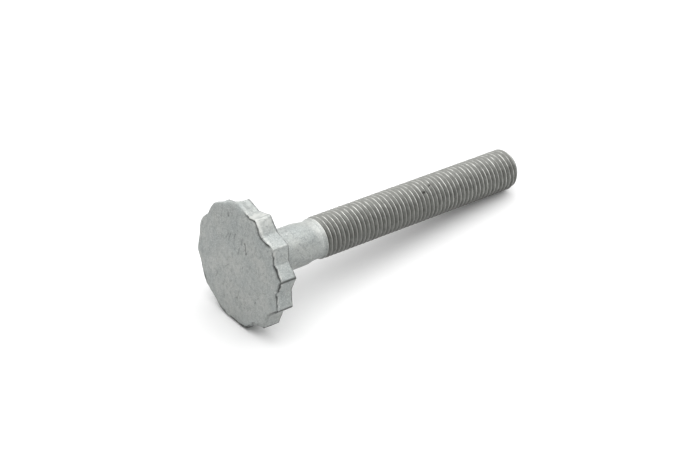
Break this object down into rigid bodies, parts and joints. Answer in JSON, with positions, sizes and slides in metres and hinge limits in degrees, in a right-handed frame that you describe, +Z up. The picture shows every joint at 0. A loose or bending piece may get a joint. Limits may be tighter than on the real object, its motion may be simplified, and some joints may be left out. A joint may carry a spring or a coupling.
{
  "type": "twelve-point bolt",
  "caption": "Forged galvanised bolt with a wide thin twelve-point head, a plain shank that necks down ahead of the thread, and a long coarse thread.",
  "frame": {"origin": "middle of the bounding box on the surface that the bolt lies on", "axes": "+Z up from the surface, +X from the head towards the tip of the thread"},
  "size_m": [0.1345, 0.0454, 0.0459],
  "materials": {
    "galvanised_steel": "hot-dip galvanised, matt grey"
  },
  "bodies": {
    "root": {"bolt": "galvanised_steel"}
  },
  "joints": []
}
